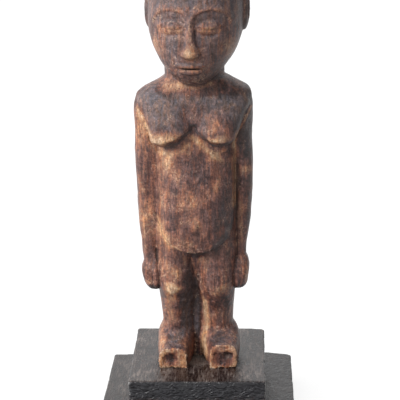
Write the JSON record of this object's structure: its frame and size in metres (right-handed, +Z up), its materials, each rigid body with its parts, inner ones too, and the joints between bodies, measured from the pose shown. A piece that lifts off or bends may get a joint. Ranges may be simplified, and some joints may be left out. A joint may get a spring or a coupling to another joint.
{
  "type": "carved standing figure on plinth",
  "caption": "Standing female figure carved from one piece of dark wood, arms close to its sides, fixed on a stepped plinth of two black painted square boards.",
  "frame": {"origin": "middle of the plinth's underside", "axes": "+Z up along the figure, which looks along -Y; +X is to its left"},
  "size_m": [0.1397, 0.1447, 0.34],
  "materials": {
    "slab_paint": "brushed black paint, satin, worn grey on top",
    "block_paint": "thick black paint, satin, wrinkled on its sides",
    "carved_wood": "dark brown and grey-black patina, satin, worn to orange-brown wood on the high places"
  },
  "bodies": {
    "root": {"plinth_slab": "slab_paint", "plinth_block": "block_paint", "figure": "carved_wood"}
  },
  "joints": []
}
